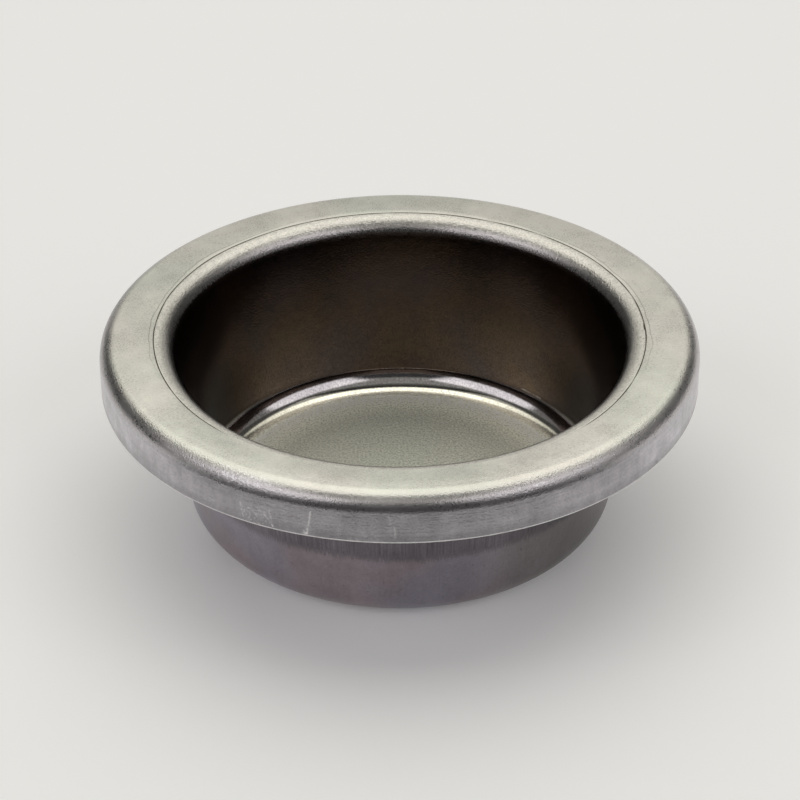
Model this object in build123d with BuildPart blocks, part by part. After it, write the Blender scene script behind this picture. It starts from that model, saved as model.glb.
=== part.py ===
"""A pressed steel hub cap: a drawn cup with a flat flange that turns down into a short skirt.

Millimetres, +Z up. The origin is the middle of the closed end's outer face, where the cap stands.
The cup opens upwards. In use the skirt is pressed into the wheel hub's bore, flange first.
"""
from build123d import *
from math import radians, tan
import os

# Driving dimensions
skirt_diameter = 80.0    # outside of the skirt, a press fit in the hub's bore
total_height = 27.2      # closed end to the flange's upper face
sheet = 1.2              # thickness of the steel sheet
skirt_height = 6.8       # flange's upper face down to the skirt's cut edge
face_diameter = 65.0     # inner edge of the flange's flat face, where the bend into the cup starts
wall_draft = 6.5         # slope of the cup's wall, in degrees from the axis
rim_bend = 2.4           # outside radius between the flange and the skirt
mouth_bend = 2.4         # radius of the rolled mouth between the flange and the cup
floor_bend = 3.8         # inside radius between the wall and the floor

# Where the wall's line meets the flange's face and the floor, were the bends sharp
mouth_turn = radians(90 - wall_draft)
mouth_corner = face_diameter / 2 - mouth_bend * tan(mouth_turn / 2)
floor_corner = mouth_corner - (total_height - sheet) * tan(radians(wall_draft))

with BuildPart() as hub_cap:
    # Half section of the sheet: its upper side from the cut edge to the axis, then its thickness.
    # The cut edge is left square, as trimmed.
    with BuildSketch(Plane.XZ):
        with BuildLine():
            upper_side = FilletPolyline(
                (skirt_diameter / 2, total_height - skirt_height),
                (skirt_diameter / 2, total_height),
                (mouth_corner, total_height),
                (floor_corner, sheet),
                (0, sheet),
                radius=[rim_bend, mouth_bend, floor_bend],
            )
            offset(upper_side, amount=sheet, side=Side.LEFT)
        make_face()
    revolve(axis=Axis.Z)

hub_cap.part.label = "hub_cap"

os.makedirs("parts", exist_ok=True)
export_step(hub_cap.part, "parts/hub_cap.step")
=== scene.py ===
"""Looks of a pressed steel hub cap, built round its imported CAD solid.

Metres, +Z up, with the camera on the -Y side.
"""
import math

import bmesh
import bpy
from mathutils import Matrix, Vector, noise


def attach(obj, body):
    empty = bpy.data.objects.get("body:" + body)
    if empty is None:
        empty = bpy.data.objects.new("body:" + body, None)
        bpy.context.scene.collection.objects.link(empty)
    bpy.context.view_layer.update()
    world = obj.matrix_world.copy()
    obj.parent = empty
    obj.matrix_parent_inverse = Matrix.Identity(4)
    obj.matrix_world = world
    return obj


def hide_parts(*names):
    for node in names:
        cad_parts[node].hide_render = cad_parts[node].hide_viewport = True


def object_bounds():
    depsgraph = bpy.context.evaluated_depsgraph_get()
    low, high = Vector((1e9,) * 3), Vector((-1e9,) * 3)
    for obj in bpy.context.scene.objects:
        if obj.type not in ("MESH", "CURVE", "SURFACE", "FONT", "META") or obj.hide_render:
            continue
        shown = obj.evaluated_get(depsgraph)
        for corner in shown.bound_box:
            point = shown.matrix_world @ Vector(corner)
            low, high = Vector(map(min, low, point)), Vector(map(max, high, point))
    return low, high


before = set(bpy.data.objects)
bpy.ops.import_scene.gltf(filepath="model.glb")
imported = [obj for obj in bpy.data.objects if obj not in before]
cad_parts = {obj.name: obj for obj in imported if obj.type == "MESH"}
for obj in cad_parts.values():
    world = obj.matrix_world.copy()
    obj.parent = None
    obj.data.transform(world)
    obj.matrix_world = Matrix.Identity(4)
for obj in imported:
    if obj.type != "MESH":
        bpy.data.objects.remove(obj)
cad_box = [list(corner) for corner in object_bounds()]

MM = 0.001

# Sizes of the cap, as in the CAD solid. The skirt's radius is 40 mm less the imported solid's flats,
# to stay in its box.
SKIRT_RADIUS = min(abs(reach) for corner in cad_box for reach in corner[:2])
HEIGHT = 27.2 * MM
SHEET = 1.2 * MM
SKIRT_HEIGHT = 6.8 * MM
FACE_RADIUS = 32.5 * MM
WALL_DRAFT = math.radians(6.5)
RIM_BEND = 2.4 * MM
MOUTH_BEND = 2.4 * MM
FLOOR_BEND = 3.8 * MM

# Wear and trimming that only the finished sheet has. A pair says where an effect starts and is whole.
DIE_LINE_OUT = 0.12 * MM      # the line's inner edge, outside the flat face's inner edge
DIE_LINE_WIDTH = 0.24 * MM
DIE_LINE_DEPTH = 0.05 * MM
DIE_LINE_FROM = (-0.82, -0.62)    # along Y: the line is missing in front
DIE_LINE_CHANGES = 9              # how quickly its strength changes round the cap
DIE_LINE_STRENGTH = 0.65          # its mean strength
DIE_LINE_UNEVEN = 0.7             # and how much that changes
DIE_LINE_SWAY = 0.10 * MM
SWAY_CHANGES = 4
SWAY_REACH = (0.5 * MM, 2.5 * MM)
TRIM_ROUND = 0.32 * MM        # the cut edge's outer corner
TRIM_BURR = 0.05 * MM         # the cut edge's inner corner
FRONT_SAG = 0.40 * MM         # how much lower the mouth stands on the -Y side
FRONT_SPREAD = 0.55 * MM      # and how much further out
FRONT_FROM = (0.1, 1.0)       # towards -Y
FRONT_RADIUS = (31.5 * MM, 38.5 * MM)
FRONT_HEIGHT = (8 * MM, 25 * MM)
FLANGE_CROWN = 0.10 * MM      # how much lower the flange's edges stand than its middle
CROWN_MIDDLE = 35.0 * MM
CROWN_REACH = 2.6 * MM

# Fineness of the mesh
TURN_STEPS = 288
BEND_STEPS = 20
LONGEST_CELL = 0.9 * MM
WELD_REACH = 1e-7

NEAR_AXIS = 1 * MM            # points so near the axis stay as they are
LEAST_RADIUS = 1e-6
SPARE = 0.01                  # how far, as a share, a test stands off the groove's border
OVER = 1.05                   # a little more than a size, to take in what stands on its border

# Which way a face looks, by its normal's share along Z or away from the axis
LOOKS_UP = 0.01
LOOKS_WELL_UP = 0.5
LOOKS_IN = -0.02
UNDER_DEPTH = 1.5 * MM        # how far the flange's under side reaches down the mouth's bend


# Shape

def section_corners():
    """The sheet's closed section, as sharp corners with the radius that each one is rounded to."""
    mouth_turn = math.radians(90) - WALL_DRAFT
    mouth = FACE_RADIUS - MOUTH_BEND * math.tan(mouth_turn / 2)
    foot = mouth - (HEIGHT - SHEET) * math.tan(WALL_DRAFT)
    # the under side's corners stand a sheet's thickness off the upper side's
    aside = SHEET * math.tan(mouth_turn / 2)
    under = HEIGHT - SHEET
    edge = HEIGHT - SKIRT_HEIGHT
    line = FACE_RADIUS + DIE_LINE_OUT
    return [
        (0.0, SHEET, 0.0),
        (foot, SHEET, FLOOR_BEND),
        (mouth, HEIGHT, MOUTH_BEND),
        (line, HEIGHT, 0.0),
        (line + DIE_LINE_WIDTH / 2, HEIGHT - DIE_LINE_DEPTH, 0.0),
        (line + DIE_LINE_WIDTH, HEIGHT, 0.0),
        (SKIRT_RADIUS, HEIGHT, RIM_BEND),
        (SKIRT_RADIUS, edge, TRIM_ROUND),
        (SKIRT_RADIUS - SHEET, edge, TRIM_BURR),
        (SKIRT_RADIUS - SHEET, under, RIM_BEND - SHEET),
        (mouth + aside, under, MOUTH_BEND - SHEET),
        (foot + aside, 0.0, FLOOR_BEND + SHEET),
        (0.0, 0.0, 0.0),
    ]


def smooth(value, low, high):
    """0 below low, 1 above high, and an even S between."""
    step = min(max((value - low) / (high - low), 0.0), 1.0)
    return step * step * (3 - 2 * step)


def wear_the_sheet(mesh):
    """Small faults of the pressing.

    The die line fades and sways, the flange is crowned, and the mouth is a little open in front.
    """
    die_line = mesh.verts.layers.float.new("die_line")
    line_in = FACE_RADIUS + DIE_LINE_OUT
    for vert in mesh.verts:
        radius = math.hypot(vert.co.x, vert.co.y)
        if radius < NEAR_AXIS:
            continue
        way = Vector((vert.co.x / radius, vert.co.y / radius, 0))
        on_top = vert.co.z > HEIGHT - DIE_LINE_DEPTH * (1 + SPARE)
        if on_top and line_in < radius < line_in + DIE_LINE_WIDTH * (1 - SPARE):
            strength = DIE_LINE_STRENGTH + DIE_LINE_UNEVEN * noise.noise(way * DIE_LINE_CHANGES)
            vert[die_line] = max(strength * smooth(way.y, *DIE_LINE_FROM), 0)
            vert.co.z = HEIGHT - DIE_LINE_DEPTH * vert[die_line]
        crown = min(((radius - CROWN_MIDDLE) / CROWN_REACH) ** 2, 1)
        vert.co.z -= FLANGE_CROWN * crown * smooth(vert.co.z, HEIGHT - RIM_BEND, HEIGHT)
        front = smooth(-way.y, *FRONT_FROM)
        inner = 1 - smooth(radius, *FRONT_RADIUS)
        upper = smooth(vert.co.z, *FRONT_HEIGHT)
        near_line = 1 - smooth(abs(radius - line_in), *SWAY_REACH)
        vert.co += way * (DIE_LINE_SWAY * noise.noise(way * SWAY_CHANGES) * near_line * upper)
        vert.co += way * (FRONT_SPREAD * front * inner * upper)
        vert.co.z -= FRONT_SAG * front * inner * upper


def zone_of(face):
    """Which finish a face has, by its place and by the side of the sheet that it is on."""
    middle = face.calc_center_median()
    radius = math.hypot(middle.x, middle.y)
    outwards = (face.normal.x * middle.x + face.normal.y * middle.y) / max(radius, LEAST_RADIUS)
    trimmed = HEIGHT - SKIRT_HEIGHT + TRIM_ROUND * OVER
    if radius > SKIRT_RADIUS - SHEET * OVER and middle.z < trimmed:
        return CUT_EDGE
    if radius > SKIRT_RADIUS - SHEET / 2 and middle.z < HEIGHT - RIM_BEND:
        return SKIRT
    if middle.z > HEIGHT - RIM_BEND and face.normal.z > LOOKS_UP and radius > FACE_RADIUS:
        return FLANGE
    if radius < FACE_RADIUS and (outwards < LOOKS_IN or face.normal.z > LOOKS_WELL_UP):
        return INSIDE
    if radius > SKIRT_RADIUS - SHEET * 3 / 2 or middle.z > HEIGHT - SHEET - UNDER_DEPTH:
        return UNDER_FLANGE
    return OUTSIDE


def make_cap():
    """The half section is drawn once, its corners are rounded, and it is spun about the axis."""
    mesh = bmesh.new()
    corners = section_corners()
    verts = [mesh.verts.new((r, 0, z)) for r, z, bend in corners]
    for a, b in zip(verts, verts[1:]):
        mesh.edges.new((a, b))
    for vert, corner, before, after in zip(verts[1:-1], corners[1:-1], corners, corners[2:]):
        bend = corner[2]
        if not bend:
            continue
        here = Vector(corner[:2])
        turn = (here - Vector(before[:2])).angle(Vector(after[:2]) - here)
        bmesh.ops.bevel(mesh, geom=[vert], offset=bend * math.tan(turn / 2), segments=BEND_STEPS,
                        profile=0.5, affect="VERTICES", material=-1)
    for edge in mesh.edges[:]:
        cuts = math.ceil(edge.calc_length() / LONGEST_CELL) - 1
        if cuts > 0:
            bmesh.ops.subdivide_edges(mesh, edges=[edge], cuts=cuts)
    bmesh.ops.spin(mesh, geom=mesh.verts[:] + mesh.edges[:], cent=(0, 0, 0), axis=(0, 0, 1),
                   angle=2 * math.pi, steps=TURN_STEPS, use_merge=True)
    bmesh.ops.remove_doubles(mesh, verts=mesh.verts, dist=WELD_REACH)
    bmesh.ops.recalc_face_normals(mesh, faces=mesh.faces)
    for face in mesh.faces:
        face.material_index = zone_of(face)
        face.smooth = True
    wear_the_sheet(mesh)
    data = bpy.data.meshes.new("hub_cap_steel")
    mesh.to_mesh(data)
    mesh.free()
    cap = bpy.data.objects.new("hub_cap_steel", data)
    bpy.context.collection.objects.link(cap)
    return cap


# Node helpers

# Noise mostly stays between these two values
NOISE_LOW = 0.3
NOISE_HIGH = 0.7


class Nodes:
    """Adds nodes to one tree. A value may be a number, a colour or another node's output."""

    def __init__(self, tree):
        self.tree = tree

    def put(self, socket, value):
        if isinstance(value, bpy.types.NodeSocket):
            self.tree.links.new(value, socket)
        else:
            socket.default_value = value

    def add(self, kind, settings=None, **values):
        node = self.tree.nodes.new(kind)
        for name, setting in (settings or {}).items():
            setattr(node, name, setting)
        for name, value in values.items():
            self.put(node.inputs[name.replace("_", " ")], value)
        return node

    def math(self, operation, *values, clamp=False):
        node = self.add("ShaderNodeMath", {"operation": operation, "use_clamp": clamp})
        for socket, value in zip(node.inputs, values):
            self.put(socket, value)
        return node.outputs[0]

    def product(self, first, *others):
        """All the values multiplied together."""
        for other in others:
            first = self.math("MULTIPLY", first, other)
        return first

    def vector(self, operation, *values):
        node = self.add("ShaderNodeVectorMath", {"operation": operation})
        for socket, value in zip(node.inputs, values):
            self.put(socket, value)
        return node.outputs["Value" if operation in ("LENGTH", "DOT_PRODUCT", "DISTANCE") else "Vector"]

    def scaled(self, vector, factor):
        node = self.add("ShaderNodeVectorMath", {"operation": "SCALE"}, Scale=factor)
        self.put(node.inputs[0], vector)
        return node.outputs["Vector"]

    def parts(self, vector):
        return self.add("ShaderNodeSeparateXYZ", Vector=vector).outputs

    def joined(self, x, y, z):
        return self.add("ShaderNodeCombineXYZ", X=x, Y=y, Z=z).outputs[0]

    def noise(self, vector, scale, detail, roughness):
        return self.add("ShaderNodeTexNoise", Vector=vector, Scale=scale, Detail=detail,
                        Roughness=roughness).outputs["Fac"]

    def ramp(self, value, low, high, first=0.0, last=1.0, even=False):
        """Runs from first at low to last at high, in an S or evenly, and stays level past both."""
        kind = "LINEAR" if even else "SMOOTHSTEP"
        return self.add("ShaderNodeMapRange", {"interpolation_type": kind}, Value=value, From_Min=low,
                        From_Max=high, To_Min=first, To_Max=last).outputs[0]

    def by_noise(self, value, first, last):
        """Runs evenly from first to last over the values that noise mostly has."""
        return self.ramp(value, NOISE_LOW, NOISE_HIGH, first, last, even=True)

    def by_share(self, value, first, last):
        """Runs evenly from first at 0 to last at 1."""
        return self.ramp(value, 0.0, 1.0, first, last, even=True)

    def mix(self, factor, a, b, blend="MIX"):
        node = self.add("ShaderNodeMix", {"data_type": "RGBA", "blend_type": blend})
        self.put(node.inputs["Factor"], factor)
        self.put(node.inputs["A"], a)
        self.put(node.inputs["B"], b)
        return node.outputs["Result"]


def new_group(name, inputs, outputs):
    """An empty shader group with named sockets: its nodes, its inputs and its outputs."""
    group = bpy.data.node_groups.new(name, "ShaderNodeTree")
    for socket, kind in inputs.items():
        group.interface.new_socket(socket, in_out="INPUT", socket_type="NodeSocket" + kind)
    for socket, kind in outputs.items():
        group.interface.new_socket(socket, in_out="OUTPUT", socket_type="NodeSocket" + kind)
    nodes = Nodes(group)
    return nodes, group, nodes.add("NodeGroupInput").outputs, nodes.add("NodeGroupOutput").inputs


def place_group(nodes, group, **values):
    node = nodes.add("ShaderNodeGroup", {"node_tree": group})
    for name, value in values.items():
        nodes.put(node.inputs[name.replace("_", " ")], value)
    return node.outputs


# Shared effects

COARSER = 4                               # how much larger the coarse speckle is than the fine one
GRAIN_SPAN = (0.28, 0.72)                 # the speckles' noise that becomes 0 and 1
SCRATCH_BREAKS = 2.4                      # breaks to a millimetre
SCRATCH_BROKEN = (0.40, 0.60, 0.15, 1.0)  # noise from and to, and how much shows there
PATCH_FADE = (0.2, 1.0, 1.0, 0.0)         # share of the reach from and to, and how much shows there
PATCH_BARE_LEVEL = 0.85                   # noise above which a patch with no cover has its spots
PATCH_COVER_DROP = 0.5                    # how far a full cover lowers that
SPOT_EDGE = (-0.02, 0.10)                 # how far above that level a spot starts and is whole


def make_round_places():
    """A point's place about the axis, in millimetres: its radius, its height and its direction."""
    nodes, group, given, out = new_group(
        "round_places", {"Place": "Vector"},
        {"Place mm": "Vector", "Around": "Vector", "Radius": "Float", "Height": "Float"})
    place = nodes.scaled(given["Place"], 1 / MM)
    x, y, z = nodes.parts(place)
    flat = nodes.joined(x, y, 0.0)
    nodes.put(out["Place mm"], place)
    nodes.put(out["Around"], nodes.vector("NORMALIZE", flat))
    nodes.put(out["Radius"], nodes.vector("LENGTH", flat))
    nodes.put(out["Height"], z)
    return group


def make_grain():
    """Fine pressed grain: a coarse and a fine speckle together, which fill 0 to 1."""
    nodes, group, given, out = new_group(
        "steel_grain", {"Place mm": "Vector", "Grain size": "Float", "Coarse share": "Float"},
        {"Grain": "Float"})
    size = given["Grain size"]
    fine = nodes.noise(given["Place mm"], nodes.math("DIVIDE", 1.0, size), detail=1.0, roughness=0.5)
    fewer = nodes.math("DIVIDE", 1 / COARSER, size)
    coarse = nodes.noise(given["Place mm"], fewer, detail=2.0, roughness=0.5)
    both = nodes.add("ShaderNodeMix", {"data_type": "FLOAT"})
    nodes.put(both.inputs["Factor"], given["Coarse share"])
    nodes.put(both.inputs["A"], fine)
    nodes.put(both.inputs["B"], coarse)
    nodes.put(out["Grain"], nodes.ramp(both.outputs["Result"], *GRAIN_SPAN, even=True))
    return group


def make_streaks():
    """Fine lines that the die drew, round the cap or along it."""
    nodes, group, given, out = new_group(
        "draw_streaks",
        {"Around": "Vector", "Along": "Float", "Lines round": "Float", "Lines along": "Float"},
        {"Streak": "Float"})
    x, y, _ = nodes.parts(nodes.scaled(given["Around"], given["Lines round"]))
    spot = nodes.joined(x, y, nodes.math("MULTIPLY", given["Along"], given["Lines along"]))
    nodes.put(out["Streak"], nodes.noise(spot, 1.0, detail=3.0, roughness=0.6))
    return group


def make_scratch():
    """A single scratch, as a mask along the straight line between two points."""
    nodes, group, given, out = new_group(
        "scratch", {"Place mm": "Vector", "Start": "Vector", "End": "Vector", "Width": "Float"},
        {"Mask": "Float"})
    line = nodes.vector("SUBTRACT", given["End"], given["Start"])
    reach = nodes.vector("SUBTRACT", given["Place mm"], given["Start"])
    share = nodes.math("DIVIDE", nodes.vector("DOT_PRODUCT", reach, line),
                       nodes.vector("DOT_PRODUCT", line, line), clamp=True)
    gap = nodes.vector("DISTANCE", reach, nodes.scaled(line, share))
    breaks = nodes.noise(given["Place mm"], SCRATCH_BREAKS, detail=3.0, roughness=0.6)
    near = nodes.ramp(gap, 0.0, given["Width"], 1.0, 0.0)
    nodes.put(out["Mask"], nodes.product(nodes.ramp(breaks, *SCRATCH_BROKEN), near))
    return group


def make_worn_and_sparkle_patch():
    """A soft-edged patch broken up into spots: rubbed wear on the skirt, painted sparkle on the rim."""
    nodes, group, given, out = new_group(
        "worn_and_sparkle_patch",
        {"Place mm": "Vector", "Middle": "Vector", "Reach": "Float", "Spot size": "Float", "Cover": "Float"},
        {"Mask": "Float"})
    gap = nodes.math("DIVIDE", nodes.vector("DISTANCE", given["Place mm"], given["Middle"]), given["Reach"])
    near = nodes.ramp(gap, *PATCH_FADE)
    finest = nodes.math("DIVIDE", 1.0, given["Spot size"])
    spots = nodes.noise(given["Place mm"], finest, detail=4.0, roughness=0.65)
    level = nodes.math("SUBTRACT", PATCH_BARE_LEVEL, nodes.product(near, given["Cover"], PATCH_COVER_DROP))
    nodes.put(out["Mask"], nodes.product(near, nodes.ramp(nodes.math("SUBTRACT", spots, level), *SPOT_EDGE)))
    return group


ROUND_PLACES = make_round_places()
GRAIN = make_grain()
STREAKS = make_streaks()
SCRATCH = make_scratch()
WORN_AND_SPARKLE_PATCH = make_worn_and_sparkle_patch()


# Materials

def start_material(name):
    """A new metal: its nodes, its shader and a point's place about the axis."""
    material = bpy.data.materials.new(name)
    material.use_nodes = True
    nodes = Nodes(material.node_tree)
    shader = material.node_tree.nodes["Principled BSDF"]
    shader.inputs["Metallic"].default_value = 1.0
    spot = nodes.add("ShaderNodeTexCoord").outputs["Object"]
    return material, nodes, shader, place_group(nodes, ROUND_PLACES, Place=spot)


def end_material(nodes, shader, colour, roughness, bumps=None, bump_depth=0.0):
    """The metal's colour, its roughness and its bumps, with their depth in metres."""
    nodes.put(shader.inputs["Base Color"], colour)
    nodes.put(shader.inputs["Roughness"], roughness)
    if bumps is not None:
        bump = nodes.add("ShaderNodeBump", Strength=1.0, Distance=bump_depth, Height=bumps)
        nodes.put(shader.inputs["Normal"], bump.outputs["Normal"])


# Colours, in linear light
BARE = (0.57, 0.551, 0.515, 1)
BARE_GREEN = (0.53, 0.534, 0.49, 1)
BARE_VIOLET = (0.54, 0.52, 0.52, 1)
SKIRT_VIOLET = (0.51, 0.492, 0.525, 1)
STAINED = (0.175, 0.125, 0.094, 1)
STAINED_DARK = (0.135, 0.105, 0.098, 1)
FLOOR_OLIVE = (0.66, 0.672, 0.60, 1)
OUTER_VIOLET = (0.300, 0.256, 0.276, 1)
OUTER_BLUE = (0.263, 0.247, 0.284, 1)
OUTER_BROWN = (0.285, 0.258, 0.262, 1)
OUTER_DARK = (0.170, 0.155, 0.170, 1)
BRIGHT = (0.86, 0.84, 0.85, 1)
# painted highlight: the bend's cream line
BEND_PAINTED_HIGHLIGHT = (0.88, 0.85, 0.74, 1)
# painted dark reflection: the bend's dark line
BEND_PAINTED_DARK = (0.22, 0.215, 0.20, 1)
GRIME = (0.06, 0.05, 0.04, 1)

# Grains: size in millimetres, and share of the coarse speckle
SATIN_GRAIN = (0.28, 0.25)
PEEL_GRAIN = (0.20, 0.15)
CUP_GRAIN = (0.25, 0.30)
SHEET_GRAIN = (0.30, 0.30)
CUT_GRAIN = (0.50, 0.50)

# Drawn lines: how close together they are round the cap, and how often they break along it
SKIRT_LINES = (4.0, 3.0)
SKIRT_SMEARS = (45.0, 0.22)
OUTER_LINES = (130.0, 0.10)


def toned(nodes, colour, tone):
    """The colour, made lighter or darker by a factor."""
    return nodes.mix(1.0, colour, nodes.joined(tone, tone, tone), "MULTIPLY")


def grain_of(nodes, spot, grain):
    size, coarse = grain
    return place_group(nodes, GRAIN, Place_mm=spot["Place mm"], Grain_size=size, Coarse_share=coarse)["Grain"]


def lines_of(nodes, spot, lines):
    lines_round, lines_along = lines
    return place_group(nodes, STREAKS, Around=spot["Around"], Along=spot["Height"],
                       Lines_round=lines_round, Lines_along=lines_along)["Streak"]


def clouds(nodes, spot, scale):
    """Soft ragged clouds, as many to a millimetre as the scale says."""
    return nodes.noise(spot["Place mm"], scale, detail=3.0, roughness=0.6)


def patches(nodes, spot, scale):
    """Large plain patches, as many to a millimetre as the scale says."""
    return nodes.noise(spot["Place mm"], scale, detail=2.0, roughness=0.5)


# Scratches and nicks: start, end and width in millimetres, how much shows, colour
FLANGE_MARKS = [
    ((16.36, -30.33, 27.2), (16.16, -31.89, 27.2), 0.25, 0.5, BRIGHT),
    ((-31.60, -24.05, 26.0), (-31.25, -24.45, 25.9), 0.45, 0.8, GRIME),
    ((-2.70, -39.91, 24.95), (-1.55, -39.97, 24.80), 0.20, 0.6, BRIGHT),
]
CUP_MARKS = [
    ((17.57, 21.45, 4.28), (20.20, 18.95, 4.13), 0.16, 0.9, BRIGHT),
]
SKIRT_MARKS = [
    ((-10.99, -38.46, 24.32), (-11.60, -38.28, 20.60), 0.24, 0.62, BRIGHT),
    ((-11.45, -38.33, 21.90), (-11.90, -38.19, 20.50), 0.55, 0.50, BRIGHT),
    ((-16.20, -36.57, 23.20), (-15.70, -36.79, 20.80), 0.26, 0.42, BRIGHT),
    ((-16.90, -36.25, 22.60), (-15.75, -36.77, 21.00), 0.22, 0.45, BRIGHT),
    ((-19.76, -34.77, 23.30), (-19.50, -34.93, 21.30), 0.24, 0.35, BRIGHT),
    ((-1.49, -39.97, 24.40), (-1.25, -39.98, 23.52), 0.26, 0.45, BRIGHT),
    ((-0.77, -39.99, 23.08), (-0.66, -39.99, 21.44), 0.22, 0.40, BRIGHT),
    ((32.50, -23.30, 21.20), (32.66, -23.10, 21.10), 0.35, 0.60, GRIME),
]

# Rubbed patches, and the rim's painted sparkle: middle, reach and size of their spots in millimetres, cover,
# how much shows
# painted sparkle: bright spots that stand in for glints of light on the rim's bend
RIM_PAINTED_SPARKLES = [
    ((-19.0, -34.4, 26.1), 10.0, 0.40, 0.75, 0.9),
    ((-31.0, -24.0, 25.9), 7.0, 0.40, 0.55, 0.6),
    ((15.0, -36.2, 26.1), 9.0, 0.40, 0.60, 0.7),
]
SKIRT_RUBS = [
    ((-17.9, -35.8, 21.9), 4.2, 0.32, 0.62, 0.40),
    ((-24.0, -32.0, 22.2), 5.0, 0.60, 0.50, 0.25),
    ((-6.0, -39.5, 21.6), 6.0, 0.70, 0.50, 0.22),
]


def marked(nodes, spot, colour, marks):
    for start, end, width, share, paint in marks:
        mask = place_group(nodes, SCRATCH, Place_mm=spot["Place mm"], Start=start, End=end,
                           Width=width)["Mask"]
        colour = nodes.mix(nodes.math("MULTIPLY", mask, share), colour, paint)
    return colour


# bright spotted patches: rubbed wear on the skirt, painted sparkle on the rim
def rubs_and_sparkles(nodes, spot, colour, spotted_patches):
    for middle, reach, size, cover, share in spotted_patches:
        mask = place_group(nodes, WORN_AND_SPARKLE_PATCH, Place_mm=spot["Place mm"], Middle=middle, Reach=reach,
                           Spot_size=size, Cover=cover)["Mask"]
        colour = nodes.mix(nodes.math("MULTIPLY", mask, share), colour, BRIGHT)
    return colour


# The finishes' values. A pair with a place beside it says where the effect starts and where it is whole.
# Four numbers say between which places the tone changes, and from what to what.
# Heights and radii are in millimetres. Round the cap, x runs from -1 at the left to 1 at the right,
# y from -1 in front to 1 at the back, and "aside" from 0 in the middle to 1 at either side.
# Other pairs follow a noise or a grain, from its low value to its high one.

# Skirt
# painted shade: the skirt darker in front, standing in for the shadowed floor that it reflects
SKIRT_FRONT_PAINTED_SHADE = (-1.0, -0.25, 0.74, 1.22)     # y
SKIRT_FOOT_TONE = (20.9, 22.3, 0.78, 1.0)        # height
SKIRT_CLOUD_SCALE = 0.22
SKIRT_CLOUD_TONES = (0.82, 1.16)
SKIRT_LINE_TONES = (0.93, 1.07)
SKIRT_SPECKLE = (0.87, 1.13)
SKIRT_ROUGHNESS = (0.28, 0.38)
SKIRT_BUMP = 0.020 * MM

# Flange and rim
FLANGE_CLOUD_SCALE = 0.16
FLANGE_CLOUD_TONES = (0.88, 1.10)
FLANGE_SPECKLE = (0.91, 1.09)
# painted light and shade: the flange lighter in front and darker at the back
FLANGE_PAINTED_LIGHT_AND_SHADE = (-0.9, 0.9, 1.20, 0.93)       # y
GREEN_PATCH_SCALE = 0.055
GREEN_PATCHES = (0.42, 0.60)                     # patch
RIM_VIOLET = (38.2, 39.6)                        # radius
# painted shade: the rim darker at the far left
RIM_SHADE_RADIUS = (37.8, 39.2)                          # radius
RIM_SHADE_LEFT = (-0.70, -0.95)                   # x
RIM_LEFT_PAINTED_SHADE = 0.76
RIM_INTO_SKIRT = (26.1, 24.9)                    # height
LOWER_RIM_SPECKLE = (0.80, 1.15)
# where the rim's painted sparkle goes
SPARKLE_RADIUS = (38.2, 39.0)
SPARKLE_HEIGHT = (25.2, 25.9)
DIE_LINE_GRIME = (0.02, 0.40)                    # strength of the die line
SECOND_LINE_SWAYS = 3.0
SECOND_LINE_RADIUS = (33.0, 33.7)
SECOND_LINE_EDGE = (0.0, 0.12, 0.45, 0.0)        # distance from the line's middle
SECOND_LINE_BACK = (-0.5, 0.1)                   # y
SECOND_LINE_ASIDE = (0.3, 0.7)                   # aside
FLANGE_ROUGHNESS = (0.27, 0.34)
FLANGE_ROUGHNESS_SPECKLE = (-0.05, 0.05)
PEEL_RADIUS = (37.0, 38.4)
PEEL_ASIDE = (0.1, 0.5, 0.4, 1.0)                # aside
FLAT_GRAIN_SHARE = 0.22
FLANGE_BUMP = 0.025 * MM

# Inside of the cup
CUP_SPECKLE = (0.74, 1.26)
MOUTH_VIOLET = (27.0, 25.5)                      # height
# painted shade: the mouth darker at both sides
MOUTH_SHADE_RADIUS = (32.4, 31.4)                        # radius
MOUTH_SHADE_ASIDE = (0.3, 0.65)                   # aside
MOUTH_SHADE_FRONT = (0.6, 0.0)                    # y
MOUTH_PAINTED_SHADE = 0.72
STAIN_TOP = (26.2, 24.6)                         # height
STAIN_FOOT = (3.5, 4.2)                          # height
STAIN_CLOUD_SCALE = 0.09
STAIN_PATCHES = (0.35, 0.65)                     # cloud
WALL_TOP_TONE = (12.0, 24.0, 1.1, 0.6)          # height
# painted shade in the middle and at both sides of the wall, and a painted sheen on its right
WALL_MIDDLE_PAINTED_SHADE = (0.0, 0.6, 0.80, 1.12)       # aside
WALL_SIDE_PAINTED_SHADE = (0.65, 1.0, 1.0, 0.35)         # aside
WALL_RIGHT_PAINTED_SHEEN = (0.4, 0.7, 1.0, 1.25)         # x
# painted shade low down at both sides
WALL_LOW_SHADE_HEIGHT = (18.0, 8.0)                          # height
WALL_LOW_SHADE_ASIDE = (0.62, 0.92)                   # aside
WALL_LOW_PAINTED_SHADE = 0.28
BEND_POLISHED = (5.3, 4.7)                       # height
# a painted dark line, then a painted cream highlight that fades at the sides, round the bend: they stand in
# for the dark wall and the light above that it reflects
PAINTED_DARK_RING = (2.25, 2.05)                         # height
PAINTED_HIGHLIGHT_RING = (1.90, 1.75)                     # height
PAINTED_HIGHLIGHT_SIDE_FADE = (0.40, 0.85, 1.0, 0.42)     # aside
FLOOR_EDGE = (25.6, 24.2)                        # radius
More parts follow.
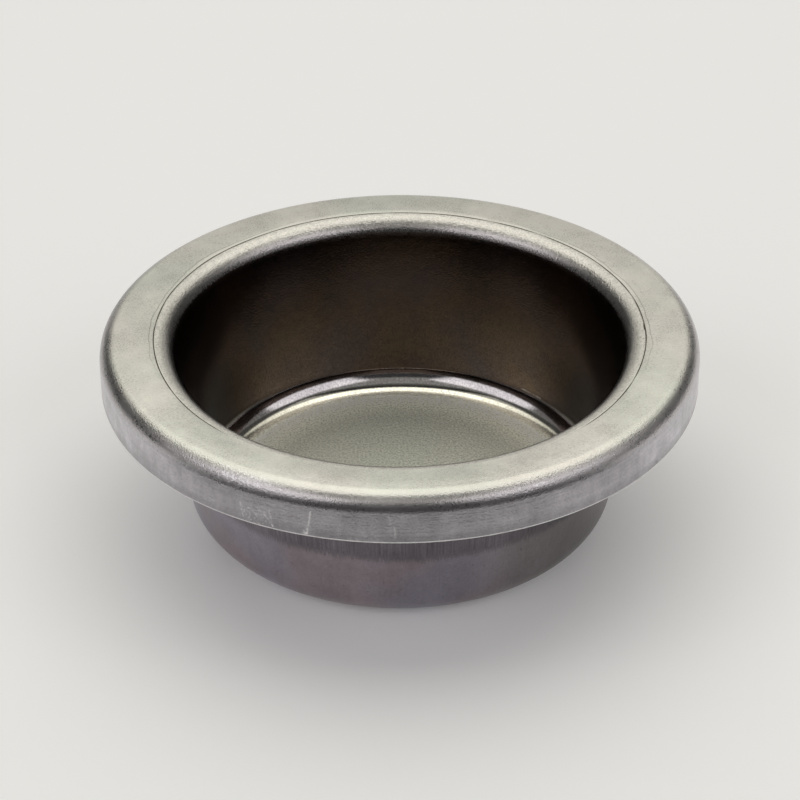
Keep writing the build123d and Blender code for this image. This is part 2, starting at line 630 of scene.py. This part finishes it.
# painted light: the floor lighter towards its edge, standing in for the bright bend that it reflects
FLOOR_EDGE_PAINTED_LIGHT = (18.0, 25.0, 1.0, 1.65)        # radius
FLOOR_STIPPLE_SCALE = 3.4
FLOOR_STIPPLE = (0.30, 0.66, 0.72, 1.14)         # stipple
CUP_ROUGHNESS = (0.30, 0.60)                     # of the bend and of the floor
CUP_ROUGHNESS_SPECKLE = (-0.03, 0.03)
POLISH_SMOOTHS = 0.18
STAIN_SMOOTHS = 0.10
POLISH_FLATTENS = 0.95
STAIN_FLATTENS = 0.75
CUP_BUMP = 0.030 * MM

# Outside of the cup, and the sides of the sheet that nothing shows
OUTER_CLOUD_SCALE = 0.14
OUTER_CLOUD_TONES = (0.86, 1.16)
SHEET_SPECKLE = (0.90, 1.10)
BLUE_PATCH_SCALE = 0.07
BLUE_PATCHES = (0.42, 0.58)                      # patch
BROWN_RIGHT = (0.2, 0.6)                         # x
# painted light on the left of the outside, painted shade on its right
OUTER_LEFT_PAINTED_LIGHT = (-0.7, 0.2, 1.28, 1.0)         # x
OUTER_RIGHT_PAINTED_SHADE = (0.35, 0.75, 1.0, 0.70)       # x
DARK_BAND_FOOT = (9.8, 11.2)                     # height
DARK_BAND_RAGS = (-0.7, 0.7)
OUTER_LINE_TONES = (0.96, 1.04)
DARK_BAND_LINE_TONES = (0.74, 1.24)
OUTER_ROUGHNESS = (0.27, 0.37)
OUTER_BUMP = 0.016 * MM
HIDDEN_CLOUD_SCALE = 0.15
HIDDEN_CLOUD_TONES = (0.78, 1.0)
HIDDEN_ROUGHNESS = (0.36, 0.44)
HIDDEN_BUMP = 0.030 * MM
CUT_SPECKLE = (0.75, 1.05)
CUT_ROUGHNESS = 0.40


def skirt_colour_and_painted_shade(nodes, spot):
    """The skirt's colour, darker towards its cut edge, with painted shade darkening its front."""
    _, y, _ = nodes.parts(spot["Around"])
    shade = nodes.product(nodes.ramp(y, *SKIRT_FRONT_PAINTED_SHADE, even=True),
                          nodes.ramp(spot["Height"], *SKIRT_FOOT_TONE))
    return toned(nodes, SKIRT_VIOLET, shade)


def die_lined(nodes, spot, colour):
    """The colour with grime in the die line and in the faint second line beside it."""
    line = nodes.add("ShaderNodeAttribute", {"attribute_name": "die_line"}).outputs["Fac"]
    colour = nodes.mix(nodes.ramp(line, *DIE_LINE_GRIME), colour, GRIME)
    x, y, _ = nodes.parts(spot["Around"])
    sway = nodes.noise(nodes.scaled(spot["Around"], SECOND_LINE_SWAYS), 1.0, detail=3.0, roughness=0.6)
    gap = nodes.math("SUBTRACT", spot["Radius"], nodes.by_noise(sway, *SECOND_LINE_RADIUS))
    faint = nodes.product(nodes.ramp(nodes.math("ABSOLUTE", gap), *SECOND_LINE_EDGE),
                          nodes.ramp(y, *SECOND_LINE_BACK),
                          nodes.ramp(nodes.math("ABSOLUTE", x), *SECOND_LINE_ASIDE))
    return nodes.mix(faint, colour, GRIME)


def flange_steel():
    """Satin face of the flange and its rim, with orange peel where the sheet was bent."""
    material, nodes, shader, spot = start_material("flange_steel")
    radius, height = spot["Radius"], spot["Height"]
    x, y, _ = nodes.parts(spot["Around"])
    cloud = clouds(nodes, spot, FLANGE_CLOUD_SCALE)
    patch = patches(nodes, spot, GREEN_PATCH_SCALE)
    fine = grain_of(nodes, spot, SATIN_GRAIN)
    peel = grain_of(nodes, spot, PEEL_GRAIN)

    colour = nodes.mix(nodes.ramp(patch, *GREEN_PATCHES), BARE, BARE_GREEN)
    colour = nodes.mix(nodes.ramp(radius, *RIM_VIOLET), colour, BARE_VIOLET)
    # painted shade on the rim at the far left
    far_left_shade = nodes.product(nodes.ramp(x, *RIM_SHADE_LEFT), nodes.ramp(radius, *RIM_SHADE_RADIUS))
    # the tone holds painted light and shade, by where the flange and rim stand round the cap
    tone = nodes.product(nodes.by_noise(cloud, *FLANGE_CLOUD_TONES), nodes.by_share(fine, *FLANGE_SPECKLE),
                         nodes.ramp(y, *FLANGE_PAINTED_LIGHT_AND_SHADE, even=True),
                         nodes.by_share(far_left_shade, 1.0, RIM_LEFT_PAINTED_SHADE))
    colour = toned(nodes, colour, tone)
    # the rim's lower half takes the skirt's colour, painted shade in front included
    lower_rim = toned(nodes, skirt_colour_and_painted_shade(nodes, spot), nodes.by_share(fine, *LOWER_RIM_SPECKLE))
    colour = nodes.mix(nodes.ramp(height, *RIM_INTO_SKIRT), colour, lower_rim)
    colour = die_lined(nodes, spot, colour)
    colour = marked(nodes, spot, colour, FLANGE_MARKS)
    # painted sparkle on the rim's bend
    on_rim = nodes.product(nodes.ramp(height, *SPARKLE_HEIGHT), nodes.ramp(radius, *SPARKLE_RADIUS))
    colour = nodes.mix(on_rim, colour, rubs_and_sparkles(nodes, spot, colour, RIM_PAINTED_SPARKLES))

    roughness = nodes.math("ADD", nodes.by_noise(cloud, *FLANGE_ROUGHNESS),
                           nodes.by_share(fine, *FLANGE_ROUGHNESS_SPECKLE))
    bent = nodes.product(nodes.ramp(radius, *PEEL_RADIUS),
                         nodes.ramp(nodes.math("ABSOLUTE", x), *PEEL_ASIDE))
    bumps = nodes.math("ADD", nodes.product(fine, FLAT_GRAIN_SHARE), nodes.product(peel, bent))
    end_material(nodes, shader, colour, roughness, bumps, FLANGE_BUMP)
    return material


def stained_and_shaded_wall(nodes, spot):
    """The wall's brown stain, darker towards the top, with painted shade in the middle, at both sides and low
    down there, and a painted sheen on its right.
    """
    height = spot["Height"]
    x, _, _ = nodes.parts(spot["Around"])
    aside = nodes.math("ABSOLUTE", x)
    cloud = clouds(nodes, spot, STAIN_CLOUD_SCALE)
    stain = nodes.mix(nodes.ramp(cloud, *STAIN_PATCHES), STAINED, STAINED_DARK)
    # painted shade low down at both sides of the wall
    low = nodes.product(nodes.ramp(aside, *WALL_LOW_SHADE_ASIDE), nodes.ramp(height, *WALL_LOW_SHADE_HEIGHT))
    # darker towards the top; the rest is painted shade and sheen by the wall's place round the cup
    tone = nodes.product(nodes.ramp(height, *WALL_TOP_TONE, even=True), nodes.ramp(aside, *WALL_SIDE_PAINTED_SHADE),
                         nodes.ramp(aside, *WALL_MIDDLE_PAINTED_SHADE), nodes.ramp(x, *WALL_RIGHT_PAINTED_SHEEN),
                         nodes.by_share(low, 1.0, WALL_LOW_PAINTED_SHADE))
    return toned(nodes, stain, tone)


def bare_cup(nodes, spot):
    """The cup's bare steel: the mouth, with painted shade at both sides, and a painted dark line and a
    painted cream highlight round the bend.
    """
    height = spot["Height"]
    x, y, _ = nodes.parts(spot["Around"])
    aside = nodes.math("ABSOLUTE", x)
    bare = nodes.mix(nodes.ramp(height, *MOUTH_VIOLET), BARE, BARE_VIOLET)
    # painted shade on the mouth at both sides
    mouth_shade = nodes.product(nodes.ramp(aside, *MOUTH_SHADE_ASIDE), nodes.ramp(y, *MOUTH_SHADE_FRONT),
                         nodes.ramp(spot["Radius"], *MOUTH_SHADE_RADIUS))
    bare = toned(nodes, bare, nodes.by_share(mouth_shade, 1.0, MOUTH_PAINTED_SHADE))
    # the bend's painted dark line and painted cream highlight
    bare = nodes.mix(nodes.ramp(height, *PAINTED_DARK_RING), bare, BEND_PAINTED_DARK)
    shine = toned(nodes, BEND_PAINTED_HIGHLIGHT, nodes.ramp(aside, *PAINTED_HIGHLIGHT_SIDE_FADE))
    return nodes.mix(nodes.ramp(height, *PAINTED_HIGHLIGHT_RING), bare, shine)


def cup_steel():
    """Inside of the cup: bare round the mouth, stained brown down the wall, bare again at the floor."""
    material, nodes, shader, spot = start_material("cup_steel")
    radius, height = spot["Radius"], spot["Height"]
    fine = grain_of(nodes, spot, CUP_GRAIN)
    wall = nodes.product(nodes.ramp(height, *STAIN_FOOT), nodes.ramp(height, *STAIN_TOP))
    floor = nodes.ramp(radius, *FLOOR_EDGE)

    colour = nodes.mix(floor, bare_cup(nodes, spot), FLOOR_OLIVE)
    colour = nodes.mix(wall, colour, stained_and_shaded_wall(nodes, spot))
    stipple = nodes.noise(spot["Place mm"], FLOOR_STIPPLE_SCALE, detail=2.0, roughness=0.6)
    # the floor's stipple, with painted light towards its edge
    floor_stipple_and_painted_light = nodes.product(nodes.ramp(radius, *FLOOR_EDGE_PAINTED_LIGHT), nodes.ramp(stipple, *FLOOR_STIPPLE))
    colour = toned(nodes, colour, nodes.mix(floor, nodes.by_share(fine, *CUP_SPECKLE), floor_stipple_and_painted_light))
    colour = marked(nodes, spot, colour, CUP_MARKS)

    polished = nodes.product(nodes.ramp(height, *BEND_POLISHED), nodes.math("SUBTRACT", 1.0, floor))
    roughness = nodes.by_share(floor, *CUP_ROUGHNESS)
    roughness = nodes.math("SUBTRACT", roughness, nodes.product(polished, POLISH_SMOOTHS))
    roughness = nodes.math("SUBTRACT", roughness, nodes.product(wall, STAIN_SMOOTHS))
    roughness = nodes.math("ADD", roughness, nodes.by_share(fine, *CUP_ROUGHNESS_SPECKLE))
    flat = nodes.math("MAXIMUM", nodes.product(polished, POLISH_FLATTENS),
                      nodes.product(wall, STAIN_FLATTENS))
    bumps = nodes.product(fine, nodes.math("SUBTRACT", 1.0, flat))
    end_material(nodes, shader, colour, roughness, bumps, CUP_BUMP)
    return material


def skirt_steel():
    """Side of the skirt: drawn lines round it, rubbed patches and a few scratches."""
    material, nodes, shader, spot = start_material("skirt_steel")
    streak = lines_of(nodes, spot, SKIRT_LINES)
    smear = lines_of(nodes, spot, SKIRT_SMEARS)
    fine = grain_of(nodes, spot, SHEET_GRAIN)
    cloud = clouds(nodes, spot, SKIRT_CLOUD_SCALE)
    tone = nodes.product(nodes.by_noise(streak, *SKIRT_LINE_TONES), nodes.by_share(fine, *SKIRT_SPECKLE),
                         nodes.by_noise(cloud, *SKIRT_CLOUD_TONES), nodes.by_noise(smear, *SKIRT_LINE_TONES))
    colour = toned(nodes, skirt_colour_and_painted_shade(nodes, spot), tone)
    colour = marked(nodes, spot, colour, SKIRT_MARKS)
    colour = rubs_and_sparkles(nodes, spot, colour, SKIRT_RUBS)
    roughness = nodes.by_share(fine, *SKIRT_ROUGHNESS)
    end_material(nodes, shader, colour, roughness, nodes.math("ADD", fine, streak), SKIRT_BUMP)
    return material


def outer_steel():
    """Outside of the cup: violet-grey, darker and finely lined in a band under the flange, with painted light
    on its left and painted shade on its right.
    """
    material, nodes, shader, spot = start_material("outer_steel")
    x, _, _ = nodes.parts(spot["Around"])
    streak = lines_of(nodes, spot, OUTER_LINES)
    cloud = clouds(nodes, spot, OUTER_CLOUD_SCALE)
    patch = patches(nodes, spot, BLUE_PATCH_SCALE)
    fine = grain_of(nodes, spot, SHEET_GRAIN)
    ragged = nodes.math("ADD", spot["Height"], nodes.by_noise(streak, *DARK_BAND_RAGS))
    band = nodes.ramp(ragged, *DARK_BAND_FOOT)
    bare = nodes.mix(nodes.ramp(patch, *BLUE_PATCHES), OUTER_VIOLET, OUTER_BLUE)
    bare = nodes.mix(nodes.ramp(x, *BROWN_RIGHT), bare, OUTER_BROWN)
    lined = nodes.mix(band, nodes.by_noise(streak, *OUTER_LINE_TONES),
                      nodes.by_noise(streak, *DARK_BAND_LINE_TONES))
    # painted light on the left, painted shade on the right
    tone = nodes.product(nodes.by_noise(cloud, *OUTER_CLOUD_TONES), nodes.by_share(fine, *SHEET_SPECKLE),
                         nodes.ramp(x, *OUTER_LEFT_PAINTED_LIGHT, even=True), nodes.ramp(x, *OUTER_RIGHT_PAINTED_SHADE), lined)
    colour = toned(nodes, nodes.mix(band, bare, OUTER_DARK), tone)
    roughness = nodes.by_share(fine, *OUTER_ROUGHNESS)
    end_material(nodes, shader, colour, roughness, nodes.math("ADD", fine, streak), OUTER_BUMP)
    return material


def hidden_steel():
    """Under side of the flange and inside of the skirt."""
    material, nodes, shader, spot = start_material("hidden_steel")
    cloud = clouds(nodes, spot, HIDDEN_CLOUD_SCALE)
    fine = grain_of(nodes, spot, SHEET_GRAIN)
    tone = nodes.product(nodes.by_noise(cloud, *HIDDEN_CLOUD_TONES), nodes.by_share(fine, *SHEET_SPECKLE))
    roughness = nodes.by_share(fine, *HIDDEN_ROUGHNESS)
    end_material(nodes, shader, toned(nodes, BARE_VIOLET, tone), roughness, fine, HIDDEN_BUMP)
    return material


def cut_steel():
    """The sheared edge, brighter than the sheet: bare cut metal, made brighter still by a painted highlight.
    """
    material, nodes, shader, spot = start_material("cut_steel")
    tone = nodes.by_share(grain_of(nodes, spot, CUT_GRAIN), *CUT_SPECKLE)
    end_material(nodes, shader, toned(nodes, BRIGHT, tone), CUT_ROUGHNESS)
    return material


FINISHES = [flange_steel, cup_steel, skirt_steel, cut_steel, outer_steel, hidden_steel]
FLANGE, INSIDE, SKIRT, CUT_EDGE, OUTSIDE, UNDER_FLANGE = range(len(FINISHES))

cap = make_cap()
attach(cap, "root")
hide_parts("hub_cap")
for finish in FINISHES:
    cap.data.materials.append(finish())


# Camera

CAMERA_PLACE = (0.0, -309.3 * MM, 211.4 * MM)
CAMERA_AIM = (0.0, 0.0, 16.0 * MM)
CAMERA_ROLL = math.radians(-0.375)
CAMERA_LENS = 121.5
CAMERA_SENSOR = 36

lens = bpy.data.cameras.new("camera")
lens.lens = CAMERA_LENS
lens.sensor_width = CAMERA_SENSOR
camera = bpy.data.objects.new("camera", lens)
camera.location = CAMERA_PLACE
towards = Vector(CAMERA_AIM) - Vector(CAMERA_PLACE)
camera.rotation_euler = towards.to_track_quat("-Z", "Y").to_euler()
camera.rotation_euler.rotate_axis("Z", CAMERA_ROLL)
bpy.context.collection.objects.link(camera)
bpy.context.scene.camera = camera
bpy.context.scene.view_settings.view_transform = "Standard"


# Studio

def facing(azimuth, height):
    """The way to a light: azimuth from the back, +X at 90 degrees, and height above the floor, in degrees."""
    azimuth, height = math.radians(azimuth), math.radians(height)
    level = math.cos(height)
    return Vector((math.sin(azimuth) * level, math.cos(azimuth) * level, math.sin(height)))


LEAST_AHEAD = 0.001


def make_soft_box():
    """How much of a soft box a direction meets, from 0 beside it to 1 inside."""
    nodes, group, given, out = new_group(
        "soft_box", {"Direction": "Vector", "Middle": "Vector", "Across": "Vector", "Up": "Vector",
                     "Half width": "Float", "Half height": "Float", "Edge": "Float"}, {"Mask": "Float"})
    ahead = nodes.vector("DOT_PRODUCT", given["Direction"], given["Middle"])
    depth = nodes.math("MAXIMUM", ahead, LEAST_AHEAD)
    mask = nodes.math("GREATER_THAN", ahead, 0.0)
    for way, half in (("Across", "Half width"), ("Up", "Half height")):
        aside = nodes.math("DIVIDE", nodes.vector("DOT_PRODUCT", given["Direction"], given[way]), depth)
        spare = nodes.math("SUBTRACT", given[half], nodes.math("ABSOLUTE", aside))
        share = nodes.math("ADD", nodes.math("DIVIDE", spare, given["Edge"]), 0.5)
        mask = nodes.math("MULTIPLY", mask, nodes.ramp(share, 0.0, 1.0))
    nodes.put(out["Mask"], mask)
    return group


# Azimuth, height, half width and half height in degrees, softness of the edge, brightness, colour
CREAM = (1.0, 0.985, 0.91)
COOL = (1.0, 0.965, 0.99)
SOFT_BOXES = [
    (0, 17, 25, 23, 0.16, 0.70, CREAM),
    (0, 68, 36, 29, 0.12, 1.32, CREAM),
    (180, 57, 32, 17, 0.15, 0.27, CREAM),
    (-124, 27, 24, 25, 0.10, 0.28, COOL),
    (-124, 38, 26, 13, 0.10, 0.85, COOL),
    (124, 27, 24, 25, 0.10, 0.22, COOL),
    (124, 38, 26, 13, 0.10, 0.80, COOL),
    (-80, 45, 20, 18, 0.20, 0.15, CREAM),
    (80, 45, 20, 18, 0.20, 0.15, CREAM),
]
ROOM_LEVEL = 0.05


def light_the_studio():
    """A dim room with soft boxes above, behind, in front and beside."""
    world = bpy.data.worlds.new("studio")
    world.use_nodes = True
    nodes = Nodes(world.node_tree)
    soft_box = make_soft_box()
    direction = nodes.add("ShaderNodeTexCoord").outputs["Generated"]
    light = (ROOM_LEVEL, ROOM_LEVEL, ROOM_LEVEL)
    for azimuth, height, width, tall, edge, strength, colour in SOFT_BOXES:
        middle = facing(azimuth, height)
        across = middle.cross(Vector((0, 0, 1))).normalized()
        mask = place_group(nodes, soft_box, Direction=direction, Middle=middle, Across=across,
                           Up=across.cross(middle), Half_width=math.tan(math.radians(width)),
                           Half_height=math.tan(math.radians(tall)), Edge=edge)["Mask"]
        shine = nodes.scaled(nodes.joined(*[part * strength for part in colour]), mask)
        light = nodes.vector("ADD", light, shine)
    background = world.node_tree.nodes["Background"]
    nodes.put(background.inputs["Color"], light)
    background.inputs["Strength"].default_value = 1.0
    bpy.context.scene.world = world


STAGE_ROUGHNESS = 0.9


def stage_piece(name, mesh, colour, glow=0.0):
    """Floor or card: a matt piece of the studio. A glow lifts it where the camera or the metal sees it."""
    data = bpy.data.meshes.new(name)
    mesh.to_mesh(data)
    mesh.free()
    piece = bpy.data.objects.new(name, data)
    bpy.context.collection.objects.link(piece)
    paint = bpy.data.materials.new(name + "_paint")
    paint.use_nodes = True
    shader = paint.node_tree.nodes["Principled BSDF"]
    shader.inputs["Base Color"].default_value = (*colour, 1)
    shader.inputs["Roughness"].default_value = STAGE_ROUGHNESS
    shader.inputs["Specular IOR Level"].default_value = 0.0
    if glow:
        nodes = Nodes(paint.node_tree)
        rays = nodes.add("ShaderNodeLightPath").outputs
        seen = nodes.math("MAXIMUM", rays["Is Camera Ray"], rays["Is Glossy Ray"])
        seen = nodes.math("MAXIMUM", seen, rays["Is Transmission Ray"])
        shader.inputs["Emission Color"].default_value = (*colour, 1)
        nodes.put(shader.inputs["Emission Strength"], nodes.math("MULTIPLY", seen, glow))
    data.materials.append(paint)
    return piece


FLOOR_RADIUS = 2.0
FLOOR_SIDES = 128
FLOOR_COLOUR = (0.92, 0.92, 0.92)
FLOOR_GLOW = 0.12
CARD_COLOUR = (0.10, 0.095, 0.10)
CARD_NEAR = 83 * MM
CARD_HEIGHT = 1 * MM
CARD_SWING = math.radians(70)
CARD_STEPS = 32

floor_mesh = bmesh.new()
bmesh.ops.create_circle(floor_mesh, cap_ends=True, segments=FLOOR_SIDES, radius=FLOOR_RADIUS)
stage_piece("floor", floor_mesh, FLOOR_COLOUR, FLOOR_GLOW)

# A dark card lies over the floor in front, where only the metal sees it, and darkens the rim's lower half
card_mesh = bmesh.new()
card_ends = [card_mesh.verts.new((0, -reach, CARD_HEIGHT)) for reach in (CARD_NEAR, FLOOR_RADIUS)]
card_line = card_mesh.edges.new(card_ends)
bmesh.ops.rotate(card_mesh, cent=(0, 0, 0), verts=card_ends,
                 matrix=Matrix.Rotation(-CARD_SWING, 3, "Z"))
bmesh.ops.spin(card_mesh, geom=card_ends + [card_line], cent=(0, 0, 0), axis=(0, 0, 1),
               angle=2 * CARD_SWING, steps=CARD_STEPS)
bmesh.ops.recalc_face_normals(card_mesh, faces=card_mesh.faces)
card = stage_piece("front_card", card_mesh, CARD_COLOUR)
card.visible_camera = False
card.visible_diffuse = False
card.visible_shadow = False

light_the_studio()
